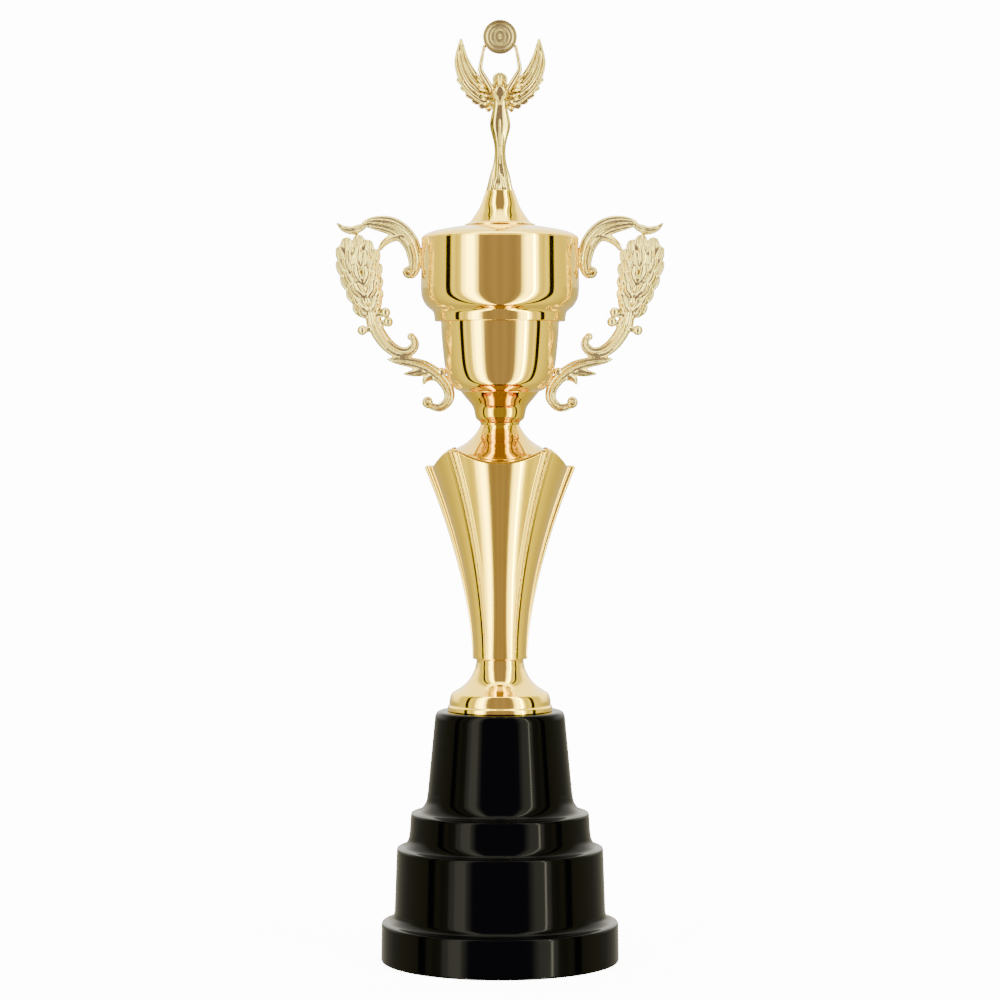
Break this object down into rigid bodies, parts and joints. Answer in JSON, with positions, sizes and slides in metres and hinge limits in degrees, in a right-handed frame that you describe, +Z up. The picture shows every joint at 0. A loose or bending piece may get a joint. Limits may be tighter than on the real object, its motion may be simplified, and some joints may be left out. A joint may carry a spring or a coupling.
{
  "type": "cup trophy",
  "caption": "Tall gold lidded cup trophy with scrolled leaf handles, a fluted column, a stepped round black base and a winged figure holding up a medal.",
  "frame": {"origin": "middle of the underside of the base, on the surface it stands on", "axes": "+Z up the stack to the figure, +X towards the right-hand handle, front towards -Y"},
  "size_m": [0.2872, 0.211, 0.831],
  "materials": {
    "black_plastic": "moulded, high gloss",
    "cover_plastic": "moulded, matt",
    "mirror_gold": "plastic with a mirror gold metallised coat",
    "deep_gold": "plastic with a deeper orange gold metallised coat",
    "pale_gold": "plastic with a pale gold metallised coat",
    "medal_gold": "pressed foil insert",
    "zinc_steel": "zinc plated",
    "ballast_iron": "as cast"
  },
  "bodies": {
    "trophy": {"base_shell": "black_plastic", "base_cover": "cover_plastic", "cover_screws": "zinc_steel", "ballast_plate": "ballast_iron", "tie_rod": "zinc_steel", "lower_washer": "zinc_steel", "lower_nut": "zinc_steel", "column_foot": "mirror_gold", "column_body": "mirror_gold", "column_neck": "deep_gold", "cup_stem": "deep_gold", "cup_lower_bowl": "mirror_gold", "cup_upper_bowl": "mirror_gold", "cup_washer": "zinc_steel", "cup_nut": "zinc_steel", "left_handle": "pale_gold", "right_handle": "pale_gold", "handle_screws": "zinc_steel", "handle_washers": "zinc_steel"},
    "lid": {"lid_dome": "mirror_gold", "lid_riser": "mirror_gold", "winged_figure": "pale_gold", "medal_insert_front": "medal_gold", "medal_insert_back": "medal_gold", "figure_screw": "zinc_steel", "figure_washer": "zinc_steel"}
  },
  "joints": [
    {"name": "lid_lift", "type": "slide", "parent": "trophy", "child": "lid", "axis": [0, 0, 1], "range_m": [0, 0.1]}
  ]
}
